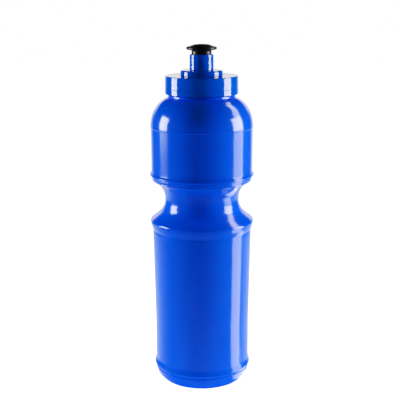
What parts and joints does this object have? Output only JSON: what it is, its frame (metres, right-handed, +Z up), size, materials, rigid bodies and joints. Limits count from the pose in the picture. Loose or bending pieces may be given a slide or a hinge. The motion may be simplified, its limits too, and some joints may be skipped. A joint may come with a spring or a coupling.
{
  "type": "sports squeeze bottle",
  "caption": "Waisted squeeze bottle with a domed shoulder, a screw cap with a tall drinking spout, and a push-pull valve with a mushroom head.",
  "frame": {"origin": "centre of the base, in the plane of the ring that the bottle stands on", "axes": "+Z up the bottle's axis, from the base to the valve; the threads apart, every piece is round about it, so +X and +Y are free"},
  "size_m": [0.076, 0.076, 0.25],
  "materials": {
    "bottle_blue": "satin",
    "cap_blue": "gloss",
    "valve_black": "semi-gloss",
    "seal_silicone": "matte"
  },
  "bodies": {
    "bottle": {"bottle_body": "bottle_blue"},
    "seal": {"cap_seal": "seal_silicone"},
    "cap": {"screw_cap": "cap_blue"},
    "valve": {"drink_valve": "valve_black"}
  },
  "joints": [
    {"name": "cap_lift", "type": "slide", "parent": "bottle", "child": "seal", "axis": [0, 0, 1], "range_m": [0, 0.0125]},
    {"name": "cap_turn", "type": "hinge", "parent": "seal", "child": "cap", "pos_m": [0, 0, 0.2151], "axis": [0, 0, 1], "range_deg": [0, 900]},
    {"name": "valve_pull", "type": "slide", "parent": "cap", "child": "valve", "axis": [0, 0, 1], "range_m": [0, 0.005]}
  ],
  "couplings": [
    {"joint": "cap_lift", "follows": "cap_turn", "m_per_rad": 0.00079577}
  ]
}
